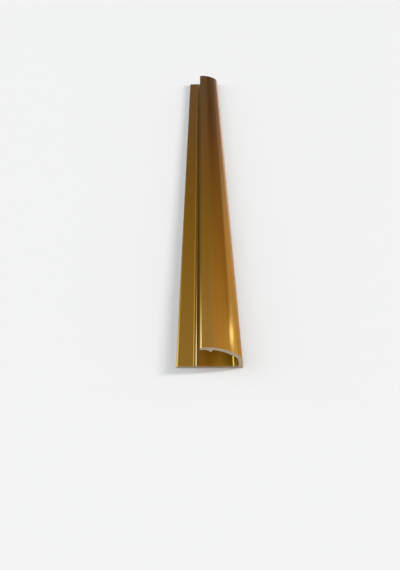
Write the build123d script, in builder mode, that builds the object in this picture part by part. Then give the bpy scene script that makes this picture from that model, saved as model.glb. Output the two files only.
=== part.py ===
"""Floor edging bar: one aluminium extrusion, anodised gold.

The bar lies along Y with its flat underside on Z = 0 and its centre on X = 0.
A thin base plate carries a wall on the +X side. An arched cover springs from
that wall and reaches back over the plate, so that the edge of a floor covering
slides in between them from the -X side. All sizes are in millimetres.
"""

import os
from math import sqrt

from build123d import *

# Bar
length = 900.0

# Base plate, with a bevelled toe on its open side
base_width = 38.0
base_thickness = 1.0
toe_bevel_width = 1.0
toe_bevel_drop = 0.6

# Gripping teeth on the base plate: two near the slot's mouth, a taller one by
# the wall
outer_tooth_setback = 9.6
mouth_tooth_setback = 10.95
tooth_lead_width = 0.7
tooth_height = 0.45
inner_tooth_gap = 2.2
inner_tooth_lead_width = 0.8
inner_tooth_height = 0.6
tooth_crest_width = 0.2

# Wall and arched cover
overall_height = 12.9
wall_thickness = 2.4
shoulder_radius = 6.0
crown_radius = 34.0
crown_setback = 20.0
cover_width = 24.4
cover_thickness = 1.5
soffit_radius = 29.0
nose_bevel_width = 1.05
nose_bevel_drop = 0.7

# Gripping barb under the cover
barb_setback = 6.2
barb_depth = 1.3
barb_lead_width = 2.7
barb_catch_width = 1.3

# Rounding of the section's corners
edge_radius = 0.2
tooth_radius = 0.12
nose_under_radius = 0.4
barb_tip_radius = 0.25
barb_root_radius = 0.5
root_radius = 0.4
inner_shoulder_radius = 3.5

# How far the cut for the slot runs past the cover's free edge
overrun = 2.0

# Faces of the plate and the wall
wall_face = base_width / 2
toe_face = -base_width / 2
wall_inside = wall_face - wall_thickness

# Each tooth leans its gentle flank towards the open side and stands upright
# behind, so that the floor covering slides in and holds
outer_tooth_x = toe_face + outer_tooth_setback
mouth_tooth_x = toe_face + mouth_tooth_setback
inner_tooth_back = wall_inside - inner_tooth_gap
inner_tooth_x = inner_tooth_back - tooth_crest_width - inner_tooth_lead_width
teeth = [
    (outer_tooth_x, tooth_lead_width, tooth_height),
    (mouth_tooth_x, tooth_lead_width, tooth_height),
    (inner_tooth_x, inner_tooth_lead_width, inner_tooth_height),
]

# The cover's top is a wide arc about the crown centre. A tighter shoulder arc
# runs from it, tangent at both ends, into the upright outside of the wall.
crown_x = wall_face - crown_setback
crown_centre = Vector(crown_x, overall_height - crown_radius)
shoulder_x = wall_face - shoulder_radius
centre_gap = crown_radius - shoulder_radius
shoulder_z = crown_centre.Y + sqrt(centre_gap**2 - (shoulder_x - crown_x) ** 2)
shoulder_centre = Vector(shoulder_x, shoulder_z)
shoulder_start = Vector(wall_face, shoulder_z)
shoulder_end = crown_centre + (shoulder_centre - crown_centre).normalized() * crown_radius

# The cover's underside is a tighter arc below the same crown, so that the
# cover thickens towards the wall that carries it
soffit_centre = Vector(crown_x, overall_height - cover_thickness - soffit_radius)


def crown_height(x):
    """Height of the cover's top at x."""
    return crown_centre.Y + sqrt(crown_radius**2 - (x - crown_x) ** 2)


def soffit_height(x):
    """Height of the cover's underside at x."""
    return soffit_centre.Y + sqrt(soffit_radius**2 - (x - crown_x) ** 2)


nose_x = wall_face - cover_width
nose_bevel_x = nose_x + nose_bevel_width
nose_top = Vector(nose_bevel_x, crown_height(nose_bevel_x))
nose_front = Vector(nose_x, nose_top.Y - nose_bevel_drop)
nose_under = Vector(nose_x, soffit_height(nose_x))
soffit_end = Vector(wall_inside, soffit_height(wall_inside))

# The barb leans its gentle flank towards the open side of the slot
barb_x = nose_x + barb_setback
barb_lead_x = barb_x - barb_lead_width
barb_catch_x = barb_x + barb_catch_width
barb_tip = Vector(barb_x, soffit_height(barb_x) - barb_depth)
barb_lead = Vector(barb_lead_x, soffit_height(barb_lead_x))
barb_catch = Vector(barb_catch_x, soffit_height(barb_catch_x))
barb_inset = Vector(0, cover_thickness / 2)

with BuildPart() as edging_bar:
    with BuildSketch(Plane.XZ) as section:
        # Wall and cover, filled down to the floor
        with BuildLine():
            Polyline(nose_top, nose_front, (nose_x, 0), (wall_face, 0), shoulder_start)
            shoulder = TangentArc(shoulder_start, shoulder_end, tangent=(0, 1))
            TangentArc(shoulder_end, nose_top, tangent=shoulder % 1)
        make_face()

        # Slot that takes the floor covering, open on the -X side
        with BuildLine():
            RadiusArc(soffit_end, nose_under, -soffit_radius)
            Polyline(
                nose_under,
                (nose_x - overrun, nose_under.Y),
                (nose_x - overrun, base_thickness),
                (wall_inside, base_thickness),
                soffit_end,
            )
        make_face(mode=Mode.SUBTRACT)

        # Base plate with its bevelled toe
        with BuildLine():
            Polyline(
                (toe_face, 0),
                (wall_face, 0),
                (wall_face, base_thickness),
                (toe_face + toe_bevel_width, base_thickness),
                (toe_face, base_thickness - toe_bevel_drop),
                close=True,
            )
        make_face()

        # Gripping teeth, drawn through the plate that carries them
        for start, lead, rise in teeth:
            top = base_thickness + rise
            back = start + lead + tooth_crest_width
            with BuildLine():
                Polyline(
                    (start, 0),
                    (start, base_thickness),
                    (start + lead, top),
                    (back, top),
                    (back, 0),
                    close=True,
                )
            make_face()

        # Barb, drawn up into the cover that carries it
        with BuildLine():
            Polyline(
                barb_lead,
                barb_tip,
                barb_catch,
                barb_catch + barb_inset,
                barb_lead + barb_inset,
                close=True,
            )
        make_face()

        # Radii of the die, at each corner of the section
        rounded_corners = [
            ((toe_face, 0), edge_radius),
            ((wall_face, 0), edge_radius),
            ((toe_face, base_thickness - toe_bevel_drop), edge_radius),
            ((toe_face + toe_bevel_width, base_thickness), edge_radius),
            (nose_top, edge_radius),
            (nose_front, edge_radius),
            (nose_under, nose_under_radius),
            (barb_tip, barb_tip_radius),
            (barb_lead, barb_root_radius),
            (barb_catch, barb_root_radius),
            ((wall_inside, base_thickness), root_radius),
            (soffit_end, inner_shoulder_radius),
        ]
        for start, lead, rise in teeth:
            top = base_thickness + rise
            back = start + lead + tooth_crest_width
            rounded_corners += [
                ((start, base_thickness), tooth_radius),
                ((start + lead, top), tooth_radius),
                ((back, top), tooth_radius),
                ((back, base_thickness), tooth_radius),
            ]
        for corner, radius in rounded_corners:
            fillet(section.vertices().sort_by_distance(Vector(corner))[0], radius)
    extrude(amount=length / 2, both=True)

edging_bar.part.label = "edging_bar"
os.makedirs("parts", exist_ok=True)
export_step(edging_bar.part, "parts/edging_bar.step")
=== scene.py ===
# %% [markdown]
# # A gold anodised edging bar
#
# This lesson dresses one piece of building stock: an aluminium bar that covers
# the edge of a floor. It was pushed hot through a steel die, so it has the same
# section from end to end. It was then polished, dyed gold and sawn to length.
#
# We load the measured model first. It stays in place as the frame that every
# other step is worked out from.

from math import acos, atan2, degrees, radians, sqrt, tan

import bmesh
import bpy
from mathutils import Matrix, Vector


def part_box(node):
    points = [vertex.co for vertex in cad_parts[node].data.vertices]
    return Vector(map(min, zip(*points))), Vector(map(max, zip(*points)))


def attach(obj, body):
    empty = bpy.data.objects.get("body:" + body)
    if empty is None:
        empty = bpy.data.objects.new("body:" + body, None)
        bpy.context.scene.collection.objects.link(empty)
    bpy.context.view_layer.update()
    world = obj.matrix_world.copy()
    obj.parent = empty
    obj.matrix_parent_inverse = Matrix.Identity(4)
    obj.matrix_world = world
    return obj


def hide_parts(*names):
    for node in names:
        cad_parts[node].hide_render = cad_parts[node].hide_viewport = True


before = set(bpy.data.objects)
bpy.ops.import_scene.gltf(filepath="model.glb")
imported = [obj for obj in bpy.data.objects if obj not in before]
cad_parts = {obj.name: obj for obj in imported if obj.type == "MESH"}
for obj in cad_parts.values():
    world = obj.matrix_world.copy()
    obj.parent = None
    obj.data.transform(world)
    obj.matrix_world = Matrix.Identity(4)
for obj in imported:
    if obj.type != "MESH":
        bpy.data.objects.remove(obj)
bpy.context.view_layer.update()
low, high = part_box("edging_bar")
print("frame of the bar, in metres:", [round(side, 4) for side in high - low])

# %% [markdown]
# ## The plate and its teeth
#
# All of the bar's character is in its section. At the bottom is a thin plate
# with a bevelled toe. Three low teeth stand on it, with a gentle flank towards
# the open side and a steep back, so that a floor covering slides in and holds.
# Two are near the open side, and a taller one is by the wall.
#
# The measured model is made of rather wide flats, which show as stripes in a
# polished finish. So the bar is drawn again here with fine arcs. Its overall
# sizes come from the frame, and the others are the die's own, in millimetres.

# %% Sizes of the plate
MM = 0.001
width, length, height = (side / MM for side in high - low)
wall_face = width / 2
toe_face = -width / 2
near_end = -length / 2

base_thickness = 1.0
toe_bevel_width = 1.0
toe_bevel_drop = 0.6
wall_thickness = 2.4
wall_inside = wall_face - wall_thickness


class Tooth:
    """One tooth of the plate, with its flank starting at x."""

    crest_width = 0.2

    def __init__(self, x, lead, rise):
        self.start = x
        self.crest = x + lead
        self.back = self.crest + self.crest_width
        self.top = base_thickness + rise


outer_setback = 9.6
mouth_setback = 10.95
inner_setback = 3.2
outer_tooth = Tooth(toe_face + outer_setback, lead=0.7, rise=0.45)
mouth_tooth = Tooth(toe_face + mouth_setback, lead=0.7, rise=0.45)
inner_tooth = Tooth(wall_inside - inner_setback, lead=0.8, rise=0.6)
print("section of", round(width, 2), "by", round(height, 2), "mm")

# %% [markdown]
# ## The arched cover
#
# The cover's top is a wide arc, the crown, and a tighter arc, the shoulder,
# turns it down into the wall. Two arcs meet smoothly when their centres and the
# meeting point are in line, so the shoulder's centre follows from the two radii
# by Pythagoras. The underside, the soffit, is made in the same way.


# %% Arcs of the cover
class Arc:
    """A circle in the section, with its centre given in millimetres."""

    def __init__(self, x, z, radius):
        self.centre = Vector((x, near_end, z))
        self.radius = radius

    def height(self, x):
        """Height of the upper half of the circle at x."""
        return self.centre.z + sqrt(self.radius**2 - (x - self.centre.x) ** 2)

    def angle(self, x):
        """Angle of that same point, from +X towards +Z."""
        return acos((x - self.centre.x) / self.radius)

    def corner_arc(self, side, radius):
        """A smaller arc inside this one, which runs smoothly into an upright side."""
        x = side - radius
        gap = self.radius - radius
        return Arc(x, self.centre.z + sqrt(gap**2 - (x - self.centre.x) ** 2), radius)

    def turn_to(self, other):
        """Angle at which another arc inside this one meets it."""
        apart = other.centre - self.centre
        return atan2(apart.z, apart.x)


cover_thickness = 1.5
crown_setback = 20.0
crown_radius = 34.0
soffit_radius = 29.0
shoulder_radius = 6.0
inner_shoulder_radius = 3.5
crown_x = wall_face - crown_setback
crown = Arc(crown_x, height - crown_radius, crown_radius)
soffit = Arc(crown_x, height - cover_thickness - soffit_radius, soffit_radius)
shoulder = crown.corner_arc(wall_face, shoulder_radius)
inner_shoulder = soffit.corner_arc(wall_inside, inner_shoulder_radius)
print("shoulder turns through", round(degrees(crown.turn_to(shoulder)), 1), "degrees")

# %% [markdown]
# The cover ends in a nose with a bevel on its top edge. Under it hangs a small
# barb, which presses on the floor covering from above.

# %% Nose and barb
cover_width = 24.4
nose_bevel_width = 1.05
nose_bevel_drop = 0.7
nose_x = wall_face - cover_width
nose_bevel_x = nose_x + nose_bevel_width
nose_bevel_foot = crown.height(nose_bevel_x) - nose_bevel_drop

barb_setback = 6.2
barb_lead_width = 2.7
barb_catch_width = 1.3
barb_depth = 1.3
barb_x = nose_x + barb_setback
barb_lead_x = barb_x - barb_lead_width
barb_catch_x = barb_x + barb_catch_width
barb_tip = soffit.height(barb_x) - barb_depth
print("gap under the barb:", round(barb_tip - base_thickness, 2), "mm")

# %% [markdown]
# ## Drawing with a pen
#
# An outline could be typed as a long list of points, but an arc drawn that way
# is hard to read and to change. Instead a small pen pulls one vertex along:
# extruding the vertex makes a straight edge, and spinning it makes an arc. The
# pen remembers the corners that the die rounds, with their radii.


# %% The pen
class Pen:
    """Draws an outline in the plane of the bar's near end."""

    def __init__(self, x, z, radius):
        self.mesh = bmesh.new()
        self.start = self.tip = self.mesh.verts.new((x, near_end, z))
        self.corners = [(self.tip, radius)]

    def line(self, x, z, radius=0.0):
        """A straight edge to (x, z), whose corner is rounded later."""
        self.tip = bmesh.ops.extrude_vert_indiv(self.mesh, verts=[self.tip])["verts"][0]
        self.tip.co = (x, near_end, z)
        self.corners.append((self.tip, radius))

    def arc(self, arc, start, stop, steps, radius=0.0):
        """A part of an arc, between two angles from +X towards +Z."""
        spun = bmesh.ops.spin(
            self.mesh,
            geom=[self.tip],
            cent=arc.centre,
            axis=(0, -1, 0),
            angle=stop - start,
            steps=steps,
        )
        self.tip = next(v for v in spun["geom_last"] if isinstance(v, bmesh.types.BMVert))
        self.corners.append((self.tip, radius))

    def close(self):
        """Joins the last point to the first and fills the outline."""
        bmesh.ops.contextual_create(self.mesh, geom=[self.tip, self.start])
        bmesh.ops.contextual_create(self.mesh, geom=self.mesh.edges[:])
        self.corners = [(corner, radius) for corner, radius in self.corners if radius]


# %% [markdown]
# The pen goes once round the section: along the underside, up the wall, over
# the cover to its nose, back along the soffit, down the wall's inside and over
# the teeth to the toe. The steps of an arc are kept small where it shows.

# %% Draw the wall and the top of the cover
edge_radius = 0.2
nose_under_radius = 0.4
pen = Pen(toe_face, 0, edge_radius)
pen.line(wall_face, 0, edge_radius)
pen.line(wall_face, shoulder.centre.z)
pen.arc(shoulder, 0, crown.turn_to(shoulder), steps=40)
pen.arc(crown, crown.turn_to(shoulder), crown.angle(nose_bevel_x), steps=96, radius=edge_radius)
pen.line(nose_x, nose_bevel_foot, edge_radius)
pen.line(nose_x, soffit.height(nose_x), nose_under_radius)
print("wall and crown of", len(pen.mesh.verts), "points")

# %% Draw the soffit and the inside of the wall
barb_root_radius = 0.5
barb_tip_radius = 0.25
root_radius = 0.4
pen.arc(soffit, soffit.angle(nose_x), soffit.angle(barb_lead_x), steps=7, radius=barb_root_radius)
pen.line(barb_x, barb_tip, barb_tip_radius)
pen.line(barb_catch_x, soffit.height(barb_catch_x), barb_root_radius)
pen.arc(soffit, soffit.angle(barb_catch_x), soffit.turn_to(inner_shoulder), steps=52)
pen.arc(inner_shoulder, soffit.turn_to(inner_shoulder), 0, steps=24)
pen.line(wall_inside, base_thickness, root_radius)
print("with the soffit", len(pen.mesh.verts), "points")

# %% Draw the teeth and the toe
tooth_radius = 0.12
teeth = (inner_tooth, mouth_tooth, outer_tooth)
for tooth in teeth:
    pen.line(tooth.back, base_thickness, tooth_radius)
    pen.line(tooth.back, tooth.top, tooth_radius)
    pen.line(tooth.crest, tooth.top, tooth_radius)
    pen.line(tooth.start, base_thickness, tooth_radius)
pen.line(toe_face + toe_bevel_width, base_thickness, edge_radius)
pen.line(toe_face, base_thickness - toe_bevel_drop, edge_radius)
pen.close()
print("outline of", len(pen.mesh.verts), "points,", len(pen.corners), "corners to round")

# %% [markdown]
# ## From section to bar
#
# Pulling the face along the bar is the press's own work, so one extrusion makes
# the whole length. Then each long corner gets the radius that the die gives it.
# A bevel is set by how far it cuts back along each face, so the radius is turned
# into that distance with the angle between the two faces.

# %% Extrude the bar
bar = pen.mesh
made = bmesh.ops.extrude_face_region(bar, geom=bar.faces[:])
far_end = [v for v in made["geom"] if isinstance(v, bmesh.types.BMVert)]
bmesh.ops.translate(bar, verts=far_end, vec=(0, length, 0))
bmesh.ops.recalc_face_normals(bar, faces=bar.faces)


def long_edge(vertex):
    """The edge that runs from a corner of the near end to the far end."""
    return next(edge for edge in vertex.link_edges if edge.calc_length() > length / 2)


def round_edges(edges, offset, segments):
    """Rounds edges of the bar, cutting each face back by the offset."""
    bmesh.ops.bevel(
        bar,
        geom=edges,
        offset=offset,
        offset_type="OFFSET",
        affect="EDGES",
        segments=segments,
        profile=0.5,
        material=-1,
    )


for corner, radius in pen.corners:
    edge = long_edge(corner)
    round_edges([edge], radius * tan(edge.calc_face_angle() / 2), segments=8)
print("bar of", len(bar.faces), "faces")

# %% [markdown]
# The saw leaves a sharp rim at both ends, which is broken with a file before
# the bar is handled. That is a very small bevel round each end face.

# %% Break the rims of the sawn ends
rim_break = 0.08
ends = [face for face in bar.faces if abs(face.normal.y) > 0.9]
rims = {edge for end in ends for edge in end.edges}
round_edges(list(rims), rim_break, segments=2)
bmesh.ops.scale(bar, verts=bar.verts, vec=(MM, MM, MM))
print("finished bar of", len(bar.faces), "faces")

# %% [markdown]
# ## Which faces are sawn, worn or left unpolished
#
# The saw went through after the dyeing, so the two ends are bare metal. These
# are differences between faces, so they are marked on the faces rather than
# painted over them: the ends get a material of their own.

# %% Mark the sawn ends
sawn_reach = length / 2 - 1.01 * rim_break
for face in bar.faces:
    face.smooth = True
    face.material_index = int(abs(face.calc_center_median().y / MM) > sawn_reach)
print("sawn faces:", sum(face.material_index for face in bar.faces))

# %% [markdown]
# The polishing wheel can't reach into the slot or under the plate, so the film
# stays dull there. It only brushes the open plate and the small teeth. On the
# bevels of the nose and the toe it presses hardest, so the film is thin and
# pale, and that pale colour is also a painted highlight for the light these
# bevels catch. The groove behind the inner tooth is painted pale too, as a
# painted highlight. All of this follows from a face's place in the section, so
# two questions about a point of the section come first.

# %% Places in the section
slack = 0.01


def in_slot(x, z):
    """Whether a point is in the slot, behind the mouth's teeth."""
    below_soffit = base_thickness - slack < z < soffit.height(x) + slack
    return mouth_tooth.back < x < wall_inside + slack and below_soffit


def tooth_at(x, z):
    """The tooth at a point, its foot's rounding included."""
    for tooth in teeth:
        near = tooth.start - tooth_radius < x < tooth.back + tooth_radius
        if near and base_thickness + slack < z < tooth.top + slack:
            return tooth


# %% [markdown]
# Each part of the section gets two shares: of unpolished film, and of pale film,
# which is partly real wear and partly a painted highlight. They are kept on the
# faces as numbers from 0 to 1, with a third one for the slot, and the material
# reads them later.

# %% Shares of unpolished film and of wear with painted highlight
polished = (0.0, 0.0)
dull = (1.0, 0.0)
# The groove's pale share is a painted highlight only.
lit_groove = (1.0, 0.5)
toe = (0.2, 0.22)
open_plate = (0.18, 0.0)
nose_bevel = (0.0, 0.32)
tooth_marks = {outer_tooth: (0.4, 0.05), mouth_tooth: (0.05, 0.5), inner_tooth: (0.15, 0.1)}


def marks_at(x, z, upward):
    """Both shares at a point, whose face looks upward by that much."""
    if tooth_at(x, z):
        return tooth_marks[tooth_at(x, z)]
    if z < slack:
        return dull
    if in_slot(x, z):
        return lit_groove if x > inner_tooth.back and z < base_thickness + slack else dull
    if x < toe_face + toe_bevel_width:
        return toe
    if x < mouth_tooth.back:
        return open_plate
    if nose_x - slack < x < nose_bevel_x and upward > 0.2:
        return nose_bevel
    return polished


# %% Mark the dull faces, and the worn faces with painted highlights
hidden = bar.faces.layers.float.new("hidden")
unpolished = bar.faces.layers.float.new("unpolished")
worn_and_highlight = bar.faces.layers.float.new("worn_and_highlight")
for face in bar.faces:
    x, _, z = face.calc_center_median() / MM
    face[hidden] = float(in_slot(x, z))
    face[unpolished], face[worn_and_highlight] = marks_at(x, z, face.normal.z)
print("dull faces:", sum(face[unpolished] == 1 for face in bar.faces))
print("worn faces:", sum(face[worn_and_highlight] > 0 for face in bar.faces))

# %% [markdown]
# The mesh is complete now and becomes an object. Wide flats and fine rounds lie
# side by side, and smooth shading would bend the light on the flats. Weighted
# normals let the large faces decide, so the flats stay flat.


# %% Make the object
def add_object(name, data):
    """Puts a mesh, a lamp or a camera in the scene."""
    made = bpy.data.objects.new(name, data)
    bpy.context.scene.collection.objects.link(made)
    return made


def to_mesh(name, shape):
    """Turns a finished bmesh into a mesh."""
    made = bpy.data.meshes.new(name)
    shape.to_mesh(made)
    shape.free()
    return made


mesh = to_mesh("gold_bar", bar)
gold_bar = add_object("gold_bar", mesh)
gold_bar.modifiers.new("Even flats", "WEIGHTED_NORMAL").keep_sharp = True
print("gold_bar has", len(mesh.polygons), "faces and", len(mesh.vertices), "points")

# %% [markdown]
# ## A recipe for finishes
#
# A finish is a handful of patterns that are blended, and the node tree for it
# is long to write out. A small helper class keeps the recipes below short. It
# serves the materials and the painted room alike.


# %% The recipe helper
class Recipe:
    """Adds nodes to the tree of a material or of the world."""

    def __init__(self, owner):
        owner.use_nodes = True
        self.tree = owner.node_tree

    def node(self, kind, **settings):
        """A new node of that kind, with its settings."""
        made = self.tree.nodes.new("ShaderNode" + kind)
        for name, value in settings.items():
            setattr(made, name, value)
        return made

    def join(self, value, socket):
        """Gives a socket a plain value, or the output of another node."""
        if isinstance(value, bpy.types.NodeSocket):
            self.tree.links.new(value, socket)
        else:
            socket.default_value = value

    def feed(self, node, **values):
        """Fills a node's inputs by name, with _ for a space."""
        for name, value in values.items():
            self.join(value, node.inputs[name.replace("_", " ")])
        return node

    def place(self, kind):
        """Coordinates of that kind."""
        return self.node("TexCoord").outputs[kind]

    def between(self, value, start, stop, low, high, smooth=False):
        """Turns the part of a value from start to stop into low to high."""
        steps = self.node("MapRange", interpolation_type="SMOOTHSTEP" if smooth else "LINEAR")
        self.feed(steps, Value=value, From_Min=start, From_Max=stop, To_Min=low, To_Max=high)
        return steps.outputs["Result"]

    def math(self, operation, first, second):
        """One step of arithmetic on two values."""
        worked = self.node("Math", operation=operation)
        self.join(first, worked.inputs[0])
        self.join(second, worked.inputs[1])
        return worked.outputs[0]

    def blend(self, share, first, second):
        """A number between two numbers."""
        mixed = self.node("Mix", data_type="FLOAT")
        for value, socket in ((share, 0), (first, 2), (second, 3)):
            self.join(value, mixed.inputs[socket])
        return mixed.outputs[0]

    def tint(self, share, first, second):
        """A colour between two colours."""
        mixed = self.node("Mix", data_type="RGBA")
        for value, socket in ((share, 0), (first, 6), (second, 7)):
            self.join(value, mixed.inputs[socket])
        return mixed.outputs[2]


# %% [markdown]
# Patterns are measured on the piece itself: its own metres, and the numbers
# marked on its faces. So they stay in place when the bar is moved.


# %% The finish helper
class Finish(Recipe):
    """A material with its shader, on the piece's own metres."""

    def __init__(self, name):
        self.material = bpy.data.materials.new(name)
        super().__init__(self.material)
        self.shader = self.tree.nodes["Principled BSDF"]

    def mark(self, name):
        """The number that was put on each face under that name."""
        return self.node("Attribute", attribute_name=name).outputs["Fac"]

    def noise(self, spots_per_metre, detail=3.0, roughness=0.5):
        """Noise with its own density along X, Y and Z."""
        spread = self.feed(self.node("Mapping"), Vector=self.place("Object"), Scale=spots_per_metre)
        cloud = self.feed(self.node("TexNoise"), Scale=1.0, Detail=detail, Roughness=roughness)
        self.join(spread.outputs["Vector"], cloud.inputs["Vector"])
        return cloud.outputs["Fac"]

    def bump(self, height, metres):
        """A surface that rises by that many metres where the height is 1."""
        return self.feed(self.node("Bump"), Height=height, Distance=metres).outputs["Normal"]


# %% [markdown]
# ## The gold film
#
# Anodising turns the skin of the aluminium into a clear, hard film that takes
# a dye. Light passes through the gold film to the metal and back, so a metal
# with a gold colour shows it well, with a trace of clear coat for the film's
# own surface. The die drew fine lines along the bar, which are noise that is
# stretched nearly a thousand times in length. Broad, soft clouds make the dye
# uneven.

# %% Colour of the film
deep_gold = (0.43, 0.25, 0.062, 1)
light_gold = (0.49, 0.29, 0.078, 1)
warm_gold = (0.46, 0.25, 0.06, 1)
film = Finish("gold_anodised")
die_lines = film.noise((1100, 1.2, 1100), detail=4.0, roughness=0.6)
clouds = film.noise((40, 14, 40), detail=2.0)
lines = film.between(die_lines, 0.3, 0.7, 0.0, 1.0)
gold = film.tint(lines, deep_gold, light_gold)
gold = film.tint(film.between(clouds, 0.35, 0.7, 0.0, 0.35), gold, warm_gold)
print("colour of the film in", len(film.tree.nodes), "nodes")

# %% [markdown]
# The open plate is a shade darker than the cover, away from the nose. In the
# slot the colour is painted light, for the light that comes in from the mouth:
# brown under the nose, brighter and more yellow halfway in, and olive by the
# inner tooth. In the corner before the nose it is painted shade, which gives
# way to painted light near the open ends. So the place on the bar decides, as
# well as the marks on the faces. Where the film is worn thin, it is pale; that
# pale colour is also a painted highlight on the bevels and teeth, and strongest
# near the ends.

# %% Places on the film
spot = film.node("SeparateXYZ")
film.join(film.place("Object"), spot.inputs[0])


def across(start, stop):
    """A share that grows across the bar, between two places in the section."""
    return film.between(spot.outputs["X"], start * MM, stop * MM, 0.0, 1.0)


under_nose = across(nose_x - 0.5, nose_x + 1.5)
halfway = across(nose_x + 5.4, nose_x + 11.4)
by_tooth = across(inner_tooth.start - 6.4, inner_tooth.start - 2.4)
# Over this reach from each end the colour gets painted light: the corner's painted shade lifts, and
# the painted highlights grow.
end_light_reach = 70
end_light_start = (length / 2 - end_light_reach) * MM
end_light_full = (length / 2 - 20) * MM
from_middle = film.math("ABSOLUTE", spot.outputs["Y"], 0.0)
lit_ends = film.between(from_middle, end_light_start, end_light_full, 0.0, 1.0)
print("ends brushed over", end_light_reach, "mm")

# %% Colours of the slot's painted light, the corner's painted shade and the worn film with painted highlights
# The corner's dark colour is painted shade; the lighter one at the ends is painted light.
corner_shade_gold = (0.25, 0.13, 0.006, 1)
lit_ends_gold = (0.42, 0.24, 0.04, 1)
# The slot's colours are painted light for the light from the mouth, brightest halfway in.
nose_brown = (0.54, 0.28, 0.03, 1)
lit_halfway_gold = (0.74, 0.495, 0.065, 1)
olive_gold = (0.55, 0.39, 0.05, 1)
plate_gold = (0.37, 0.225, 0.047, 1)
# Pale film: real wear, and a painted highlight on the bevels, teeth and groove.
worn_and_highlight_gold = (0.96, 0.85, 0.54, 1)
corner_shade = film.tint(lit_ends, corner_shade_gold, lit_ends_gold)
painted_slot_light = film.tint(halfway, nose_brown, lit_halfway_gold)
painted_slot_light = film.tint(by_tooth, painted_slot_light, olive_gold)
painted_slot_light = film.tint(under_nose, corner_shade, painted_slot_light)
in_the_open = film.tint(film.between(under_nose, 0.0, 1.0, 0.7, 0.0), gold, plate_gold)
gold = film.tint(film.mark("hidden"), in_the_open, painted_slot_light)
# The pale share is strongest near the ends, as a painted highlight by the open end.
wear_and_highlight = film.math("MULTIPLY", film.mark("worn_and_highlight"), film.between(lit_ends, 0.0, 1.0, 0.3, 1.0))
gold = film.tint(wear_and_highlight, gold, worn_and_highlight_gold)
print("with the slot and the wear", len(film.tree.nodes), "nodes")

# %% [markdown]
# The polish sets how sharp the reflections are. It follows the die lines, and
# scuffs from stacking and handling break it up: short streaks along the bar
# where the noise is highest. The lines are a few thousandths of a millimetre
# deep, just enough to be felt in a long reflection. Light that grazes the film
# takes on more of the dye, which the shader has a tint of its own for.

# %% Polish of the film
scuffed_roughness = 0.16
dull_roughness = 0.7
line_depth = 0.004
grazing_gold = (0.84, 0.54, 0.33, 1)
scuffs = film.between(film.noise((650, 22, 650), detail=2.0), 0.64, 0.74, 0.0, 1.0)
polish = film.blend(lines, 0.05, 0.085)
polish = film.blend(scuffs, polish, scuffed_roughness)
film.feed(
    film.shader,
    Base_Color=gold,
    Metallic=1.0,
    Roughness=film.blend(film.mark("unpolished"), polish, dull_roughness),
    Specular_Tint=grazing_gold,
    Coat_Weight=0.06,
    Coat_Roughness=0.1,
    Normal=film.bump(die_lines, line_depth * MM),
)
mesh.materials.append(film.material)
print("film of", len(film.tree.nodes), "nodes")

# %% [markdown]
# ## The sawn ends
#
# A circular blade leaves arcs on the cut, all about the blade's own centre. A
# wave pattern in rings draws them when its centre is put where the saw's shaft
# was, well below the bar. Smear and oxide make the cut uneven.

# %% Saw marks
sawn = Finish("sawn_aluminium")
shaft_right = 50 * MM
shaft_below = 110 * MM
to_shaft = (-shaft_right, 0, shaft_below)
blade = sawn.feed(sawn.node("Mapping"), Vector=sawn.place("Object"), Location=to_shaft)
rings = sawn.node("TexWave", wave_type="RINGS", rings_direction="Y")
sawn.feed(rings, Vector=blade.outputs["Vector"], Scale=400.0, Distortion=2.0, Detail=2.0)
saw_marks = rings.outputs["Fac"]
smear = sawn.noise((260, 1, 260))
print("saw marks in", len(sawn.tree.nodes), "nodes")

# %% Bare metal
hollow_grey = (0.42, 0.335, 0.23, 1)
ridge_grey = (0.48, 0.385, 0.26, 1)
smeared_grey = (0.40, 0.33, 0.24, 1)
saw_mark_depth = 0.01
bare = sawn.tint(saw_marks, hollow_grey, ridge_grey)
bare = sawn.tint(sawn.between(smear, 0.35, 0.7, 0.0, 0.6), bare, smeared_grey)
sawn.feed(
    sawn.shader,
    Base_Color=bare,
    Metallic=1.0,
    Roughness=sawn.between(smear, 0.3, 0.7, 0.35, 0.5),
    Normal=sawn.bump(saw_marks, saw_mark_depth * MM),
)
mesh.materials.append(sawn.material)
print("sawn ends of", len(sawn.tree.nodes), "nodes")

# %% [markdown]
# The finished bar takes the place of the measured one. It is one rigid piece,
# so it rides on the root.

# %% Hand the bar over
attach(gold_bar, "root")
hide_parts("edging_bar")
print("gold_bar replaces edging_bar")

# %% [markdown]
# ## The floor
#
# The bar lies on a plain pale floor, which goes on to the horizon, so that no
# edge of it shows from a low place. It is matt: it shows the bar's soft shadow,
# and no mirror image.

# %% Floor
floor_reach = 200.0
floor_grey = (0.88, 0.88, 0.88, 1)
sheet = bmesh.new()
bmesh.ops.create_grid(sheet, x_segments=1, y_segments=1, size=floor_reach)
floor = add_object("floor", to_mesh("floor", sheet))
matt = Finish("pale_floor")
matt.feed(matt.shader, Base_Color=floor_grey, Roughness=0.9, Specular_IOR_Level=0.1)
floor.data.materials.append(matt.material)
print("floor reaches", floor_reach, "m each way")

# %% [markdown]
# ## The room
#
# Polished metal has hardly a look of its own: it shows the room. Lamps alone
# would leave it black with a few spots, so the room is painted on the world by
# direction. It is one soft dome, paler towards its foot. No room is even, so
# wide clouds vary it, and the bar mirrors them as slow changes along itself.

# %% The dome
world = bpy.data.worlds.new("room")
bpy.context.scene.world = world
room = Recipe(world)
direction = room.place("Generated")
parts = room.node("SeparateXYZ")
room.join(direction, parts.inputs[0])
right, ahead, up = parts.outputs
wide_clouds = room.feed(room.node("TexNoise"), Vector=direction, Scale=2.2, Detail=1.0)
unevenness = room.between(wide_clouds.outputs["Fac"], 0.3, 0.7, 0.6, 1.4)
dome = room.math("MULTIPLY", room.between(up, 0.0, 0.7, 0.85, 0.5), unevenness)
print("dome of", len(room.tree.nodes), "nodes")

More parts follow.
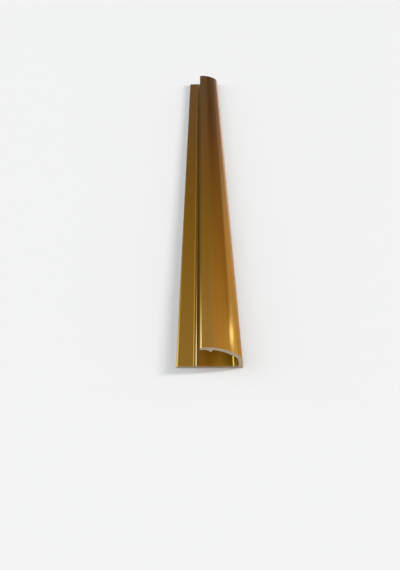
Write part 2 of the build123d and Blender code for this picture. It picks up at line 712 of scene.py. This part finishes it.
# %% [markdown]
# A long bar mirrors each part of the room as a stripe along itself. Which stripe
# it is depends on how far the room's part is rolled over to the right, about
# the bar's own direction. So the view ahead is painted by that roll: overhead,
# then to the right a lighter wall, a shaded corner and a bright side, and to the
# left a darker side. They all darken straight ahead, which shades the bar off
# with distance.

# %% Stripes of the room ahead
roll = room.math("ARCTAN2", right, up)


def from_roll(start, stop):
    """A share that grows over a range of roll, in degrees."""
    return room.between(roll, radians(start), radians(stop), 0.0, 1.0, smooth=True)


overhead = room.between(ahead, 0.915, 0.985, 0.63, 0.20)
light_wall = room.between(ahead, 0.905, 0.98, 0.82, 0.14)
corner = room.between(ahead, 0.915, 0.985, 0.60, 0.17)
bright_side = room.between(ahead, 0.94, 0.99, 0.82, 0.28, smooth=True)
left_side = room.between(ahead, 0.905, 0.98, 0.50, 0.12)
view_ahead = room.blend(from_roll(6, 28), overhead, light_wall)
view_ahead = room.blend(from_roll(34, 46), view_ahead, corner)
view_ahead = room.blend(from_roll(51, 58), view_ahead, bright_side)
view_ahead = room.blend(from_roll(-30, -50), view_ahead, left_side)
print("with the stripes", len(room.tree.nodes), "nodes")

# %% [markdown]
# The wall on the right is warm and the side beyond it is cool, which gives the
# gold its change from orange to lemon. The left is a little green, and the teeth
# and the bevels pick that up. A pale wall behind the viewer lights the sawn end.
# The foot of every wall is as pale as the floor, so that no hard line is left
# where the two meet.

# %% Colour of the walls
white = (1, 1, 1, 1)
warm_wall = (1.03, 0.90, 0.78, 1)
cool_side = (0.98, 1.04, 1.45, 1)
green_side = (0.92, 1.09, 1.0, 1)
near_ahead = room.between(ahead, 0.78, 0.88, 0.0, 1.0, smooth=True)
warmth = room.math("MULTIPLY", from_roll(12, 26), near_ahead)
coolness = room.math("MULTIPLY", from_roll(48, 60), near_ahead)
greenness = room.math("MULTIPLY", from_roll(-30, -50), near_ahead)
wall_colour = room.tint(warmth, white, warm_wall)
wall_colour = room.tint(coolness, wall_colour, cool_side)
wall_colour = room.tint(greenness, wall_colour, green_side)
print("with the colours", len(room.tree.nodes), "nodes")

# %% Brightness of the walls and of their foot
foot_brightness = 0.885
behind = room.between(ahead, -0.3, -0.8, 0.0, 0.45, smooth=True)
brightness = room.math("ADD", room.blend(near_ahead, dome, view_ahead), behind)
foot_start = room.blend(near_ahead, 0.06, 0.02)
foot_stop = room.blend(near_ahead, 0.11, 0.05)
above_foot = room.between(up, foot_start, foot_stop, 0.0, 1.0, smooth=True)
walls = room.feed(
    room.tree.nodes["Background"],
    Color=room.tint(above_foot, white, wall_colour),
    Strength=room.blend(above_foot, foot_brightness, brightness),
)
print("with the walls", len(room.tree.nodes), "nodes")

# %% [markdown]
# Two windows let daylight in. A small one, ahead on the right, makes the glint
# on the shoulder near the sawn end, with a soft halo about it. It is bluer than
# the rest, so that the gold turns nearly white there. A tall one on the left
# lights every bevel that is turned that way.


# %% Windows
def pane(value, rise, full, fade, gone):
    """One between full and fade, and nothing outside rise and gone."""
    return room.math(
        "MULTIPLY",
        room.between(value, rise, full, 0.0, 1.0, smooth=True),
        room.between(value, fade, gone, 1.0, 0.0, smooth=True),
    )


def window(roll_range, ahead_range, strength):
    """A soft pane, with four edges of roll in degrees and four of the view ahead."""
    in_roll = pane(roll, *(radians(edge) for edge in roll_range))
    in_ahead = pane(ahead, *ahead_range)
    return room.math("MULTIPLY", room.math("MULTIPLY", in_roll, in_ahead), strength)


glint = window((46.5, 52.5, 54.5, 61), (0.9055, 0.911, 0.9115, 0.9165), 3.2)
halo = window((32, 46, 62, 74), (0.85, 0.89, 0.907, 0.925), 0.26)
left_window = window((-95, -80, -56, -45), (0.2, 0.4, 0.895, 0.94), 1.4)
daylight = room.math("ADD", room.math("ADD", glint, halo), left_window)
daylight = room.math("MULTIPLY", daylight, above_foot)
print("with two windows and a halo", len(room.tree.nodes), "nodes")

# %% Daylight
pale_sky = (0.86, 1.06, 1.25, 1)
blue_sky = (0.86, 1.2, 3.2, 1)
pane_colour = room.tint(room.between(glint, 0.0, 2.0, 0.0, 1.0), pale_sky, blue_sky)
panes = room.feed(room.node("Background"), Color=pane_colour, Strength=daylight)
both = room.node("AddShader")
room.join(walls.outputs[0], both.inputs[0])
room.join(panes.outputs[0], both.inputs[1])
room.join(both.outputs[0], room.tree.nodes["World Output"].inputs["Surface"])
print("room of", len(room.tree.nodes), "nodes")

# %% [markdown]
# ## Key light
#
# One broad lamp throws the soft shadow on the floor. A sun lights the whole
# floor evenly, which a lamp nearby would not. It is a little warm, to balance
# the windows. The bar doesn't mirror it, since its glints are painted in the
# room.

# %% Key light
sun = bpy.data.lights.new("key", "SUN")
sun.energy = 2.15
sun.color = (1.0, 0.985, 0.955)
sun.angle = radians(11)
key = add_object("key", sun)
beam = Vector((-0.82, -0.32, -0.475))
key.rotation_euler = beam.to_track_quat("-Z", "Y").to_euler()
key.visible_glossy = False
print("key light from the upper right")

# %% [markdown]
# ## Camera
#
# The viewer stands in line with the bar, half a metre from its sawn end, and
# looks down along it. The place, the tilt and the focal length were worked out
# from the converging edges and the proportions of the sawn end.

# %% Camera
focal_pixels = 995.335
picture_height = 570
tilt_down = 21.4465
eye = bpy.data.cameras.new("eye")
eye.sensor_width = 36
eye.lens = eye.sensor_width * focal_pixels / picture_height
eye.clip_start = 0.01
camera = add_object("eye", eye)
camera.location = (-0.0053677, -0.958978, 0.250595)
camera.rotation_euler = (radians(90 - tilt_down), 0, 0)
bpy.context.scene.camera = camera
bpy.context.scene.view_settings.view_transform = "Standard"
print("focal length", round(eye.lens, 1), "mm")
